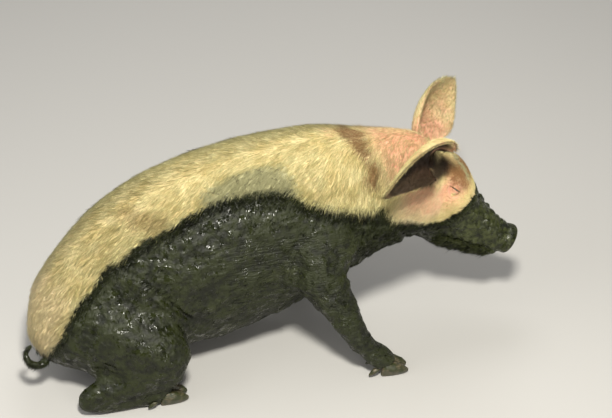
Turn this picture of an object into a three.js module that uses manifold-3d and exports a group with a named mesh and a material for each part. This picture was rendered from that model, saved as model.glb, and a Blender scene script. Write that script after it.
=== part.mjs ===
// A life-size young sow, sitting low on her haunches with her forelegs propped and her head lowered.
// Millimetres, +Z up, +X towards the head, +Y to the animal's left.
// Every piece of flesh is a loft: ovals that grow and shrink along a smooth line. Neighbouring pieces are
// cut free of each other by a thin gap, and whatever meets the floor is trimmed flat there.

import * as THREE from "three";
import Module from "manifold-3d";

const wasm = await Module();
wasm.setup();

// ---- driving dimensions -------------------------------------------------------------------------------

const GAP = 0.4; // clearance between neighbouring pieces
const RIGHT = "right";
const LEFT = "left";

const TORSO_SIDES = 20;
const HEAD_SIDES = 18;
const LIMB_SIDES = 12;
const TAIL_SIDES = 8;
const CLAW_SIDES = 6;

const RUMP_END_X = -455; // where the torso is parted into rump, belly, chest and neck
const BELLY_END_X = -170;
const CHEST_END_X = 96;

const EYE_RADIUS = 13;
const EYE_AT = [-218, 63, 80]; // in the head's frame, y towards the eye's own side

const EAR_WIDTH = 162; // measured round its curve
const EAR_THICKNESS = 6.5;

const SNOUT_DEPTH = 22; // the disc and its rim, parted from the muzzle
const MOUTH_BACK_X = -168; // how far back the lower jaw is parted from the head
const LIPS_Z = -24; // height of the mouth's line at the lips and at its corner, in the head's frame
const MOUTH_CORNER_Z = -48;

const CURL_RADIUS = 25;
const TAIL_RADIUS = 9;
const CLAW_LENGTH = 60;
const CLAW_SPACING = 31;
const DEWCLAW_LENGTH = 28;

// The head's own frame: origin at the middle of the snout disc, x out of the nose, z up.
const HEAD_AT = new THREE.Vector3(498, -95, 200);
const HEAD_YAW = -23;
const HEAD_PITCH = 30; // nose down
const HEAD_ROLL = -6;

// Right limbs are listed. The left ones are their mirror image in the torso's own middle plane,
// which turns a little along the bent back: a point on it and its heading in degrees.
const SHOULDER_PLANE = { at: [0, 2], heading: -5 };
const HIP_PLANE = { at: [-500, -6], heading: 9 };

// ---- line and girth -----------------------------------------------------------------------------------
// Each station: place of the section's middle, half width across, height above and below the middle.

const TORSO = [
  { at: [-660, -54, 122], across: 72, up: 58, down: 90 },
  { at: [-626, -42, 142], across: 112, up: 92, down: 156 },
  { at: [-566, -20, 174], across: 150, up: 132, down: 200 },
  { at: [-440, 10, 230], across: 182, up: 180, down: 216 },
  { at: [-300, 20, 276], across: 196, up: 208, down: 266 },
  { at: [-150, 16, 312], across: 191, up: 213, down: 258 },
  { at: [-20, 4, 336], across: 180, up: 210, down: 216 },
  { at: [80, -10, 350], across: 160, up: 205, down: 162 },
  { at: [170, -28, 372], across: 128, up: 177, down: 138 },
  { at: [240, -48, 386], across: 100, up: 156, down: 130 },
  { at: [292, -62, 386], across: 80, up: 128, down: 118 },
];

// In the head's own frame, from the poll to the muzzle. The forehead is broad, so these are squarish.
const HEAD = [
  { at: [-300, 0, 22], across: 84, up: 114, down: 118 },
  { at: [-262, 0, 18], across: 90, up: 122, down: 126 },
  { at: [-224, 0, 10], across: 84, up: 112, down: 118 },
  { at: [-186, 0, 2], across: 71, up: 95, down: 103 },
  { at: [-142, 0, -6], across: 57, up: 76, down: 90 },
  { at: [-100, 0, -8], across: 47, up: 62, down: 76 },
  { at: [-58, 0, -6], across: 41, up: 50, down: 62 },
  { at: [-26, 0, -2], across: 38, up: 41, down: 46 },
];
const HEAD_SQUARENESS = 2.5;
const SNOUT_SQUARENESS = 2.2;

const SNOUT = [
  { at: [-34, 0, -2], across: 37, up: 38, down: 36 },
  { at: [-20, 0, 1], across: 38, up: 37, down: 34 },
  { at: [-8, 0, 3], across: 44, up: 40, down: 36 },
  { at: [0, 0, 3], across: 42, up: 38, down: 34 },
];

// In limbs, up and down are the fore and aft halves of a section.
const FORELEG = [
  { at: [24, -100, 400], across: 50, up: 78, down: 78 },
  { at: [6, -138, 330], across: 56, up: 78, down: 82 },
  { at: [-18, -174, 270], across: 52, up: 64, down: 70 },
  { at: [12, -204, 206], across: 43, up: 46, down: 48 },
  { at: [38, -226, 148], across: 34, up: 36, down: 36 },
  { at: [52, -236, 114], across: 34, up: 36, down: 34 },
  { at: [80, -242, 76], across: 26, up: 26, down: 26 },
  { at: [104, -246, 52], across: 31, up: 29, down: 32 },
  { at: [126, -249, 36], across: 30, up: 25, down: 26 },
];
const ELBOW_AT = 2.5; // parting places, counted in stations
const WRIST_AT = 5.45;

const THIGH = [
  { at: [-590, -60, 165], across: 88, up: 90, down: 120 },
  { at: [-520, -112, 170], across: 88, up: 108, down: 130 },
  { at: [-450, -158, 156], across: 82, up: 98, down: 108 },
  { at: [-395, -194, 130], across: 67, up: 76, down: 76 },
  { at: [-376, -202, 116], across: 52, up: 56, down: 54 },
];

const GASKIN = [
  { at: [-388, -190, 100], across: 52, up: 52, down: 48 },
  { at: [-452, -193, 82], across: 45, up: 44, down: 44 },
  { at: [-520, -192, 62], across: 34, up: 34, down: 36 },
  { at: [-574, -190, 44], across: 29, up: 31, down: 36 },
];

const HINDFOOT = [
  { at: [-590, -189, 40], across: 26, up: 26, down: 30 },
  { at: [-540, -190, 34], across: 28, up: 28, down: 40 },
  { at: [-480, -191, 30], across: 26, up: 26, down: 38 },
  { at: [-432, -193, 31], across: 31, up: 29, down: 40 },
  { at: [-402, -194, 30], across: 30, up: 25, down: 36 },
];

const FORE_TOES = { at: [116, -248, 0], heading: -8, dewclawSpread: 20 };
const HIND_TOES = { at: [-414, -194, 0], heading: -4, dewclawSpread: 29 };

// ---- lofting ------------------------------------------------------------------------------------------

const radians = THREE.MathUtils.degToRad;
const ACROSS = new THREE.Vector3(0, 1, 0);

// Makes a solid of points and triangles, turned right side out.
function toSolid(points, faces) {
  const vertProperties = new Float32Array(points.flatMap((p) => p.toArray()));
  const mesh = new wasm.Mesh({ numProp: 3, vertProperties, triVerts: new Uint32Array(faces) });
  const solid = new wasm.Manifold(mesh);
  return solid.volume() < 0 ? toSolid(points, faces.reverse()) : solid;
}

// Joins rings of points into one closed surface, with a fan over each end.
function skinRings(rings) {
  const sides = rings[0].length;
  const points = rings.flat();
  const faces = [];
  for (let r = 0; r + 1 < rings.length; r += 1) {
    for (let i = 0; i < sides; i += 1) {
      const a = r * sides + i;
      const b = r * sides + ((i + 1) % sides);
      faces.push(a, b, b + sides, a, b + sides, a + sides);
    }
  }
  const middle = (ring) => ring.reduce((sum, p) => sum.add(p), new THREE.Vector3()).divideScalar(sides);
  const first = points.push(middle(rings[0])) - 1;
  const last = points.push(middle(rings[rings.length - 1])) - 1;
  const lastRing = (rings.length - 1) * sides;
  for (let i = 0; i < sides; i += 1) {
    const next = (i + 1) % sides;
    faces.push(first, next, i, last, lastRing + i, lastRing + next);
  }
  return toSolid(points, faces);
}

// One oval with its own height above and below the middle. A squareness of 2 is a plain ellipse.
function oval(middle, side, rise, girth, sides, squareness) {
  const bulge = (value) => Math.sign(value) * Math.pow(Math.abs(value), 2 / squareness);
  return Array.from({ length: sides }, (_, i) => {
    const turn = (2 * Math.PI * i) / sides;
    const height = Math.sin(turn) > 0 ? girth.y : girth.z;
    return middle.clone()
      .addScaledVector(side, bulge(Math.cos(turn)) * girth.x)
      .addScaledVector(rise, bulge(Math.sin(turn)) * height);
  });
}

// A loft along the stations, closed by rounded caps of the given lengths. grow makes it larger all over,
// to cut room for it out of a neighbour.
function loft(stations, options) {
  const { segments, sides, caps, capSteps = [0.55, 0.9], squareness = 2, grow = 0 } = options;
  const { matrix = new THREE.Matrix4() } = options;
  const line = new THREE.CatmullRomCurve3(stations.map((s) => new THREE.Vector3(...s.at)));
  const girths = new THREE.CatmullRomCurve3(stations.map((s) => new THREE.Vector3(s.across, s.up, s.down)));
  const ring = (t, shift, scale) => {
    const along = line.getTangent(t);
    const side = ACROSS.clone().addScaledVector(along, -ACROSS.dot(along)).normalize();
    const rise = new THREE.Vector3().crossVectors(along, side);
    const girth = girths.getPoint(t).addScalar(grow).multiplyScalar(scale);
    const middle = line.getPoint(t).addScaledVector(along, shift);
    return oval(middle, side, rise, girth, sides, squareness).map((p) => p.applyMatrix4(matrix));
  };
  const roundness = (step) => Math.sqrt(1 - step * step);
  const startCap = capSteps.map((step) => ring(0, -(caps[0] + grow) * step, roundness(step))).reverse();
  const endCap = capSteps.map((step) => ring(1, (caps[1] + grow) * step, roundness(step)));
  const body = Array.from({ length: segments + 1 }, (_, i) => ring(i / segments, 0, 1));
  return skinRings([...startCap, ...body, ...endCap]);
}

// ---- cutting ------------------------------------------------------------------------------------------

// Turns one of three's geometries into a solid, with the vertices that its faces share merged.
function solidFrom(geometry, matrix = new THREE.Matrix4()) {
  const loose = geometry.index ? geometry.toNonIndexed() : geometry;
  const position = loose.applyMatrix4(matrix).getAttribute("position");
  const numbers = new Map();
  const points = [];
  const corners = [];
  for (let i = 0; i < position.count; i += 1) {
    const point = new THREE.Vector3().fromBufferAttribute(position, i);
    const key = point.toArray().map((c) => c.toFixed(3)).join();
    if (!numbers.has(key)) {
      numbers.set(key, points.push(point) - 1);
    }
    corners.push(numbers.get(key));
  }
  const faces = [];
  for (let i = 0; i < corners.length; i += 3) {
    const [a, b, c] = corners.slice(i, i + 3);
    if (a !== b && b !== c && c !== a) {
      faces.push(a, b, c);
    }
  }
  return toSolid(points, faces);
}

const BLADE_SIZE = 900;
const FLOOR_DEPTH = 500;
const floor = solidFrom(
  new THREE.BoxGeometry(4000, 4000, FLOOR_DEPTH),
  new THREE.Matrix4().makeTranslation(0, 0, -FLOOR_DEPTH / 2),
);

// The main body of what is left when the cutters are taken away, without any loose slivers.
function cut(solid, ...cutters) {
  const rest = cutters.reduce((whole, cutter) => whole.subtract(cutter), solid);
  return rest.decompose().sort((a, b) => b.volume() - a.volume())[0];
}

// Parts a solid at a point by a thin plate square to the given direction: [what lies behind, ahead].
function part(solid, at, direction) {
  const ahead = direction.clone().normalize();
  const turn = new THREE.Quaternion().setFromUnitVectors(new THREE.Vector3(0, 0, 1), ahead);
  const matrix = new THREE.Matrix4().compose(at, turn, new THREE.Vector3(1, 1, 1));
  const blade = solidFrom(new THREE.BoxGeometry(BLADE_SIZE, BLADE_SIZE, GAP), matrix);
  const pieces = solid.subtract(blade).decompose().sort((a, b) => b.volume() - a.volume()).slice(0, 2);
  const reach = (piece) => {
    const { min, max } = piece.boundingBox();
    return new THREE.Vector3(...min).add(new THREE.Vector3(...max)).dot(ahead);
  };
  return pieces.sort((a, b) => reach(a) - reach(b));
}

// The point and direction of a line of stations, at a place counted in stations.
function placeOn(stations, count) {
  const line = new THREE.CatmullRomCurve3(stations.map((s) => new THREE.Vector3(...s.at)));
  const t = count / (stations.length - 1);
  return [line.getPoint(t), line.getTangent(t)];
}

// ---- sides --------------------------------------------------------------------------------------------

function mirror([x, y, z], plane) {
  const normal = [-Math.sin(radians(plane.heading)), Math.cos(radians(plane.heading))];
  const away = (x - plane.at[0]) * normal[0] + (y - plane.at[1]) * normal[1];
  return [x - 2 * away * normal[0], y - 2 * away * normal[1], z];
}

function onSide(stations, side, plane) {
  return side === RIGHT ? stations : stations.map((s) => ({ ...s, at: mirror(s.at, plane) }));
}

// ---- torso --------------------------------------------------------------------------------------------

const torsoShape = (grow = 0) => loft(TORSO, { segments: 18, sides: TORSO_SIDES, caps: [24, 30], grow });
const torsoRoom = torsoShape(GAP);

// The torso's heading where its line crosses the given x.
function torsoPlaceAtX(x) {
  const next = TORSO.findIndex((s) => s.at[0] > x);
  const [from, to] = [TORSO[next - 1].at[0], TORSO[next].at[0]];
  return placeOn(TORSO, next - 1 + (x - from) / (to - from));
}

function torsoPieces() {
  const [rump, front] = part(cut(torsoShape(), floor), ...torsoPlaceAtX(RUMP_END_X));
  const [belly, fore] = part(front, ...torsoPlaceAtX(BELLY_END_X));
  const [chest, neck] = part(fore, ...torsoPlaceAtX(CHEST_END_X));
  return { rump, belly, chest, neck };
}

// ---- head ---------------------------------------------------------------------------------------------

const headMatrix = new THREE.Matrix4()
  .makeRotationFromEuler(new THREE.Euler(radians(HEAD_ROLL), radians(HEAD_PITCH), radians(HEAD_YAW), "ZYX"))
  .setPosition(HEAD_AT);
const inHead = (x, y, z) => new THREE.Vector3(x, y, z).applyMatrix4(headMatrix);
const headAhead = inHead(1, 0, 0).sub(HEAD_AT);

function headShape(grow = 0) {
  const shared = { sides: HEAD_SIDES, grow, matrix: headMatrix };
  const skull = loft(HEAD, { ...shared, segments: 11, caps: [46, 4], squareness: HEAD_SQUARENESS });
  const disc = loft(SNOUT, { ...shared, segments: 4, caps: [4, 3], squareness: SNOUT_SQUARENESS });
  return skull.add(disc);
}
const headRoom = headShape(GAP);

function eyeball(side, grow = 0) {
  const [x, y, z] = EYE_AT;
  const place = new THREE.Matrix4().setPosition(inHead(x, side === LEFT ? y : -y, z));
  return solidFrom(new THREE.SphereGeometry(EYE_RADIUS + grow, 10, 7), place);
}

// A block that holds everything below the mouth's line. margin draws its upper and rear walls in.
function jawBlock(margin = 0) {
  const outline = new THREE.Shape();
  const [ahead, below, width] = [20, -200, 300]; // well clear of the muzzle
  outline.moveTo(ahead, LIPS_Z - margin);
  outline.quadraticCurveTo(-70, LIPS_Z - margin, MOUTH_BACK_X + margin, MOUTH_CORNER_Z - margin);
  outline.lineTo(MOUTH_BACK_X + margin, below);
  outline.lineTo(ahead, below);
  outline.closePath();
  const block = new THREE.ExtrudeGeometry(outline, { depth: width, bevelEnabled: false, curveSegments: 6 });
  const upright = new THREE.Matrix4().makeRotationX(Math.PI / 2).setPosition(0, width / 2, 0);
  return solidFrom(block, headMatrix.clone().multiply(upright));
}

function headPieces(earRooms) {
  const whole = cut(headShape(), eyeball(RIGHT, GAP), eyeball(LEFT, GAP), ...earRooms);
  const [rest, snout] = part(whole, inHead(-SNOUT_DEPTH, 0, 0), headAhead);
  const head = cut(rest, jawBlock());
  const jaw = cut(rest.intersect(jawBlock(GAP)));
  return { head, snout, lower_jaw: jaw };
}

// ---- ears ---------------------------------------------------------------------------------------------
// A leaf bent across its width into a cup that opens flatter towards the tip, along a line that leaves the
// skull outwards and turns. Points and directions are in the head's own frame.

// The right ear lies back along the neck, the left one is pricked up and out.
const EARS = {
  [RIGHT]: { line: [[-326, -86, 152], [-366, -160, 200], [-400, -256, 62]], faces: [0.48, -0.87, 0.04] },
  [LEFT]: { line: [[-337, 23, 106], [-360, 77, 148], [-294, 218, 216]], faces: [0.36, -0.62, 0.7] },
};
const EAR_ROWS = 10;
const EAR_COLUMNS = 7;
const HOLLOW_DEPTH = 80; // how far in front of its cup an ear keeps the neck and head away

// The ear's sections from root to tip. outline makes one ring of points from leaf(v, lift): the point at v,
// -1 to 1 from rim to rim, lifted towards the open side, and from the direction that the section faces.
function earSections({ line, faces }, outline) {
  const middleLine = new THREE.QuadraticBezierCurve3(...line.map((point) => inHead(...point)));
  const facing = new THREE.Vector3(...faces).transformDirection(headMatrix);
  return Array.from({ length: EAR_ROWS + 1 }, (_, row) => {
    const u = row / EAR_ROWS;
    const along = middleLine.getTangent(u);
    const front = facing.clone().addScaledVector(along, -facing.dot(along)).normalize();
    const side = new THREE.Vector3().crossVectors(front, along);
    const halfWidth = 0.5 * EAR_WIDTH * Math.pow(Math.sin(Math.PI * (0.2 + 0.79 * u)), 0.8);
    const halfThickness = 0.5 * EAR_THICKNESS * (1.5 - 0.8 * u);
    const wrap = 1.7 - 0.7 * u; // how far round its cup the leaf reaches on each side
    const radius = halfWidth / wrap;
    const leaf = (v, lift) => middleLine.getPoint(u)
      .addScaledVector(side, (radius - lift) * Math.sin(wrap * v))
      .addScaledVector(front, radius - (radius - lift) * Math.cos(wrap * v));
    return outline(leaf, halfThickness, front);
  });
}

const ACROSS_EAR = Array.from({ length: EAR_COLUMNS + 1 }, (_, c) => (2 * c) / EAR_COLUMNS - 1);

function earShape(ear, grow = 0) {
  const reach = 1 + grow / 20; // the room is a little wider too, even near the narrow tip
  return skinRings(earSections(ear, (leaf, half) => [
    ...ACROSS_EAR.map((v) => leaf(reach * v, half + grow)),
    ...ACROSS_EAR.map((v) => leaf(reach * v, -half - grow)).reverse(),
  ]));
}

// What the ear's cup encloses and looks out on.
function earHollow(ear) {
  return skinRings(earSections(ear, (leaf, half, front) => [
    ...ACROSS_EAR.map((v) => leaf(v, half)),
    ...[1, -1].map((v) => leaf(v, half).addScaledVector(front, HOLLOW_DEPTH)),
  ]));
}

// ---- tail ---------------------------------------------------------------------------------------------
// It leaves the rump under its rearmost bulge and turns once, in a plane that leans towards the back.

const TAIL_ROOT = [[-618, -46, 170], [-646, -56, 138]];
const CURL_MIDDLE = new THREE.Vector3(-678, -78, 112);
const CURL_SIDE = new THREE.Vector3(0.94, -0.34, 0);
const CURL_RISE = new THREE.Vector3(0.2, 0.55, 0.81);

function tailShape() {
  const turnsOf = [35, -20, -75, -130, -185, -240];
  const drift = new THREE.Vector3().crossVectors(CURL_SIDE, CURL_RISE);
  const curl = turnsOf.map((degrees, i) => CURL_MIDDLE.clone()
    .addScaledVector(CURL_SIDE, CURL_RADIUS * Math.cos(radians(degrees)))
    .addScaledVector(CURL_RISE, CURL_RADIUS * Math.sin(radians(degrees)))
    .addScaledVector(drift, 5 * i).toArray());
  const places = [...TAIL_ROOT, ...curl];
  const stations = places.map((at, i) => {
    const radius = TAIL_RADIUS * (1.35 - (0.8 * i) / (places.length - 1));
    return { at, across: radius, up: radius, down: radius };
  });
  return loftFramed(stations, 26, TAIL_SIDES, 5);
}

// A round loft whose sections keep their roll from one to the next, for a line that turns right round.
function loftFramed(stations, segments, sides, cap) {
  const line = new THREE.CatmullRomCurve3(stations.map((s) => new THREE.Vector3(...s.at)));
  const girths = new THREE.CatmullRomCurve3(stations.map((s) => new THREE.Vector3(s.across, s.up, s.down)));
  let side = ACROSS.clone();
  const rings = Array.from({ length: segments + 1 }, (_, i) => {
    const t = i / segments;
    const along = line.getTangent(t);
    side = side.clone().addScaledVector(along, -side.dot(along)).normalize();
    const rise = new THREE.Vector3().crossVectors(along, side);
    return oval(line.getPoint(t), side, rise, girths.getPoint(t), sides, 2);
  });
  const tip = line.getPoint(1).addScaledVector(line.getTangent(1), cap);
  rings.push(rings[segments].map((p) => p.clone().lerp(tip, 0.6)));
  return skinRings(rings);
}

// ---- limbs --------------------------------------------------------------------------------------------

const limb = (stations, segments, caps, grow = 0) => loft(stations, {
  segments, sides: LIMB_SIDES, caps, grow,
});

// Two horny claws side by side, or the two small ones behind them, in a frame with x along the toes.
function toeFrame({ at, heading }, side, plane) {
  const [x, y, z] = side === RIGHT ? at : mirror(at, plane);
  const turn = side === RIGHT ? heading : 2 * plane.heading - heading;
  return new THREE.Matrix4().makeRotationZ(radians(turn)).setPosition(x, y, z);
}

function claw(frame, offset, grow = 0) {
  const stations = [
    { at: [0, offset, 25], across: 13.5, up: 17, down: 32 },
    { at: [0.45 * CLAW_LENGTH, offset, 20], across: 14.5, up: 16, down: 26 },
    { at: [0.8 * CLAW_LENGTH, offset * 0.9, 12], across: 11, up: 12, down: 18 },
    { at: [CLAW_LENGTH, offset * 0.75, 6], across: 5, up: 7, down: 9 },
  ];
  const ends = { caps: [5, 3], capSteps: [0.7] };
  return loft(stations, { ...ends, segments: 3, sides: CLAW_SIDES, grow, matrix: frame });
}

function dewclaw(frame, offset) {
  const stations = [
    { at: [-8, offset * 0.7, 27], across: 8, up: 9, down: 9 },
    { at: [-8 - 0.6 * DEWCLAW_LENGTH, offset, 17], across: 8, up: 8, down: 8 },
    { at: [-8 - DEWCLAW_LENGTH, offset * 1.1, 9], across: 4, up: 4, down: 4 },
  ];
  return loft(stations, { segments: 2, sides: CLAW_SIDES, caps: [3, 3], capSteps: [0.7], matrix: frame });
}

// Adds the claws and dewclaws of one foot, and cuts the foot's flesh free of them.
function toes(side, plane, toeLine, prefix, flesh, fleshRoom) {
  const frame = toeFrame(toeLine, side, plane);
  const leans = { inner: side === RIGHT ? 1 : -1, outer: side === RIGHT ? -1 : 1 };
  const rooms = Object.values(leans).map((lean) => claw(frame, lean * CLAW_SPACING * 0.5, GAP));
  const horn = {};
  Object.entries(leans).forEach(([word, lean]) => {
    const small = dewclaw(frame, lean * toeLine.dewclawSpread);
    horn[`${prefix}_claw_${word}_${side}`] = cut(claw(frame, lean * CLAW_SPACING * 0.5), floor);
    horn[`${prefix}_dewclaw_${word}_${side}`] = cut(small, fleshRoom, floor, ...rooms);
  });
  return [cut(flesh, floor, ...rooms), horn];
}

function forelegPieces(side) {
  const stations = onSide(FORELEG, side, SHOULDER_PLANE);
  const whole = cut(limb(stations, 15, [36, 20]), torsoRoom);
  const [upper, rest] = part(whole, ...placeOn(stations, ELBOW_AT));
  const [lower, foot] = part(rest, ...placeOn(stations, WRIST_AT));
  const room = limb(stations, 15, [36, 20], GAP);
  const [forefoot, horn] = toes(side, SHOULDER_PLANE, FORE_TOES, "fore", foot, room);
  return {
    flesh: { [`upper_arm_${side}`]: upper, [`forearm_${side}`]: lower, [`forefoot_${side}`]: forefoot },
    horn,
  };
}

function hindlegPieces(side) {
  const [thighLine, gaskinLine, footLine] = [THIGH, GASKIN, HINDFOOT].map((s) => onSide(s, side, HIP_PLANE));
  const thigh = cut(limb(thighLine, 8, [46, 34]), torsoRoom, floor);
  const thighRoom = limb(thighLine, 8, [46, 34], GAP);
  const gaskin = cut(limb(gaskinLine, 5, [30, 22]), torsoRoom, thighRoom, floor);
  const gaskinRoom = limb(gaskinLine, 5, [30, 22], GAP);
  const foot = cut(limb(footLine, 6, [20, 20]), torsoRoom, thighRoom, gaskinRoom);
  const room = limb(footLine, 6, [20, 20], GAP);
  const [hindfoot, horn] = toes(side, HIP_PLANE, HIND_TOES, "hind", foot, room);
  return {
    flesh: { [`thigh_${side}`]: thigh, [`gaskin_${side}`]: gaskin, [`hindfoot_${side}`]: hindfoot },
    horn,
  };
}

// ---- assembly -----------------------------------------------------------------------------------------

const FINISH = {
  dry: { color: 0xd2b883, roughness: 0.85 },
  mud: { color: 0x3f4233, roughness: 0.45 },
  pink: { color: 0xd79a86, roughness: 0.8 },
  horn: { color: 0x4a4438, roughness: 0.6 },
  eye: { color: 0x1c140f, roughness: 0.1 },
};

function meshFrom(name, solid, finish, shift) {
  const { vertProperties, triVerts } = solid.getMesh();
  const geometry = new THREE.BufferGeometry();
  geometry.setAttribute("position", new THREE.BufferAttribute(new Float32Array(vertProperties), 3));
  geometry.setIndex(new THREE.BufferAttribute(new Uint32Array(triVerts), 1));
  const mesh = new THREE.Mesh(geometry, new THREE.MeshStandardMaterial({ ...finish, metalness: 0 }));
  mesh.name = name;
  mesh.position.copy(shift);
  return mesh;
}

function allPieces() {
  const pieces = [];
  const collect = (solids, finish) => {
    Object.entries(solids).forEach(([name, solid]) => pieces.push([name, solid, finish]));
  };
  const { rump, belly, chest, neck } = torsoPieces();
  const earRooms = Object.values(EARS).flatMap((ear) => [earShape(ear, GAP), earHollow(ear)]);
  const { head, snout, lower_jaw } = headPieces(earRooms);
  const clearNeck = cut(neck, headRoom, ...earRooms);
  collect({ rump, chest, neck: clearNeck, head }, FINISH.dry);
  collect({ belly, snout, lower_jaw, tail: cut(tailShape(), torsoRoom) }, FINISH.mud);
  [RIGHT, LEFT].forEach((side) => {
    collect({ [`ear_${side}`]: earShape(EARS[side]) }, FINISH.pink);
    collect({ [`eye_${side}`]: eyeball(side) }, FINISH.eye);
    const [foreleg, hindleg] = [forelegPieces(side), hindlegPieces(side)];
    collect({ ...foreleg.flesh, ...hindleg.flesh }, FINISH.mud);
    collect({ ...foreleg.horn, ...hindleg.horn }, FINISH.horn);
  });
  return pieces;
}

// The finished model stands with the middle of its footprint at the origin.
function middleOf(pieces) {
  const box = new THREE.Box3();
  pieces.forEach(([, solid]) => {
    const { min, max } = solid.boundingBox();
    box.expandByPoint(new THREE.Vector3(...min));
    box.expandByPoint(new THREE.Vector3(...max));
  });
  return box.getCenter(new THREE.Vector3());
}

const pieces = allPieces();
const middle = middleOf(pieces);
const shift = new THREE.Vector3(-middle.x, -middle.y, 0);
const sow = new THREE.Group();
sow.name = "sow";
pieces.forEach(([name, solid, finish]) => sow.add(meshFrom(name, solid, finish, shift)));

export default sow;
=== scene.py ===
"""A life-size young sow sitting low on her haunches, with wet mud on her sides, legs and muzzle.

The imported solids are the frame. One skin is grown over the flesh nodes, sculpted, marked and
unwrapped, and then covered in solid bristles. The eyes, claws and dewclaws stay pieces of their
own. Lengths are in metres, +Z is up and the head is towards +X. The animal's right side is
towards -Y.
"""
import math

import bmesh
import bpy
import numpy as np
from mathutils import Matrix, Vector
from mathutils.bvhtree import BVHTree


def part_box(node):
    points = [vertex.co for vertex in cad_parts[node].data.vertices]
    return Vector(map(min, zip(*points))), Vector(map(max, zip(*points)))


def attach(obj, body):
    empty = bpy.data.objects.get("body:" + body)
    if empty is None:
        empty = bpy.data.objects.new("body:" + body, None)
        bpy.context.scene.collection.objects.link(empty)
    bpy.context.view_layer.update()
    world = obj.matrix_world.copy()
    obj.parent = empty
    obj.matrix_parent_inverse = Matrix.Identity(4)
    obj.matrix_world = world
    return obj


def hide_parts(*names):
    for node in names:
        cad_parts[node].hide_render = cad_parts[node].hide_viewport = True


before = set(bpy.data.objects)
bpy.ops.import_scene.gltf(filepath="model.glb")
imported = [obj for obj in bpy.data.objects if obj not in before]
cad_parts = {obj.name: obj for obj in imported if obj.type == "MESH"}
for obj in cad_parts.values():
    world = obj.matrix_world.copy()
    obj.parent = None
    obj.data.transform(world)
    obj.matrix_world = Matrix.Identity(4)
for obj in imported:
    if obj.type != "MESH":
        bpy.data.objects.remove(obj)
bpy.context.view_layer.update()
SIDES = ("right", "left")
SEED = 20

# ---- small mathematics ----


def unit(vectors):
    """The vectors at length 1."""
    return vectors / np.maximum(np.linalg.norm(vectors, axis=-1, keepdims=True), 1e-12)


def ramp(value, start, end):
    """0 before start and 1 after end, with a smooth rise between them. start may be the larger."""
    t = np.clip((value - start) / (end - start), 0.0, 1.0)
    return t * t * (3.0 - 2.0 * t)


def mixed(a, b, share):
    return a + (b - a) * share


def bell(value, width):
    """1 at zero, falling away on both sides over about that width."""
    return np.exp(-((value / width) ** 2))


def spot(points, centre, radius):
    """1 at a place, falling away all round it."""
    return bell(np.linalg.norm(points - np.asarray(centre), axis=1), radius)


def cell_value(cell, seed):
    """A repeatable value from 0 to 1 for each whole-numbered cell."""
    x, y, z = (cell[:, k].astype(np.int64).astype(np.uint32) for k in range(3))
    n = x * np.uint32(374761393) + y * np.uint32(668265263) + z * np.uint32(3266489917)
    n = n + np.uint32(seed * 7919)
    n = (n ^ (n >> np.uint32(13))) * np.uint32(1274126177)
    n = (n ^ (n >> np.uint32(16))) * np.uint32(2246822519)
    return ((n ^ (n >> np.uint32(15))) & np.uint32(0xFFFFFF)) / float(0xFFFFFF)


def noise(points, size, seed=0):
    """Smooth noise from -1 to 1 whose lumps are about size across."""
    p = points / size
    low = np.floor(p)
    f = p - low
    f = f * f * (3.0 - 2.0 * f)
    total = np.zeros(len(p))
    for corner in np.ndindex(2, 2, 2):
        share = np.prod(np.where(corner, f, 1.0 - f), axis=1)
        total += share * cell_value(low + corner, seed)
    return 2.0 * total - 1.0


def rough_noise(points, size, seed=0, octaves=3):
    """Noise with finer noise on it."""
    layers = [noise(points, size / 2**k, seed + k) / 2**k for k in range(octaves)]
    return sum(layers) / (2.0 - 2.0 ** (1 - octaves))


def line_distance(points, line):
    """How far each point is from a line of straight lengths, and how far along it from 0 to 1."""
    line = np.array(line, float)
    best = np.full(len(points), 1e9)
    along = np.zeros(len(points))
    count = len(line) - 1
    for k in range(count):
        span = line[k + 1] - line[k]
        t = np.clip(((points - line[k]) @ span) / (span @ span), 0.0, 1.0)
        away = np.linalg.norm(points - line[k] - t[:, None] * span, axis=1)
        nearer = away < best
        best = np.where(nearer, away, best)
        along = np.where(nearer, (k + t) / count, along)
    return best, along


# ---- the head's own frame ----

HEAD_TURN = (  # to its right, then bowed, then tilted
    Matrix.Rotation(math.radians(-23), 3, "Z")
    @ Matrix.Rotation(math.radians(30), 3, "Y")
    @ Matrix.Rotation(math.radians(-6), 3, "X")
)
HEAD_AXES = np.array(HEAD_TURN)  # its columns are out of the nose, to the left, and up
EYES_MIDDLE = np.array([-0.218, 0.0, 0.080])  # between the eyes, in the head's frame
EYE_SIDE = 0.063  # from there to each eye
NOSTRIL_SIDE = 0.0190
NOSTRIL_Z = 0.001


def middle(node):
    low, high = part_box(node)
    return np.array((low + high) / 2)


EYE_AT = {side: middle(f"eye_{side}") for side in SIDES}
EYE_RADIUS = 0.013
HEAD_ORIGIN = (EYE_AT["left"] + EYE_AT["right"]) / 2 - HEAD_AXES @ EYES_MIDDLE


def to_head(points):
    """World points in the head's frame, whose origin is the middle of the snout's disc."""
    return (np.asarray(points, float) - HEAD_ORIGIN) @ HEAD_AXES


def from_head(points):
    return np.asarray(points, float) @ HEAD_AXES.T + HEAD_ORIGIN


# ---- the nodes of flesh ----

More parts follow.
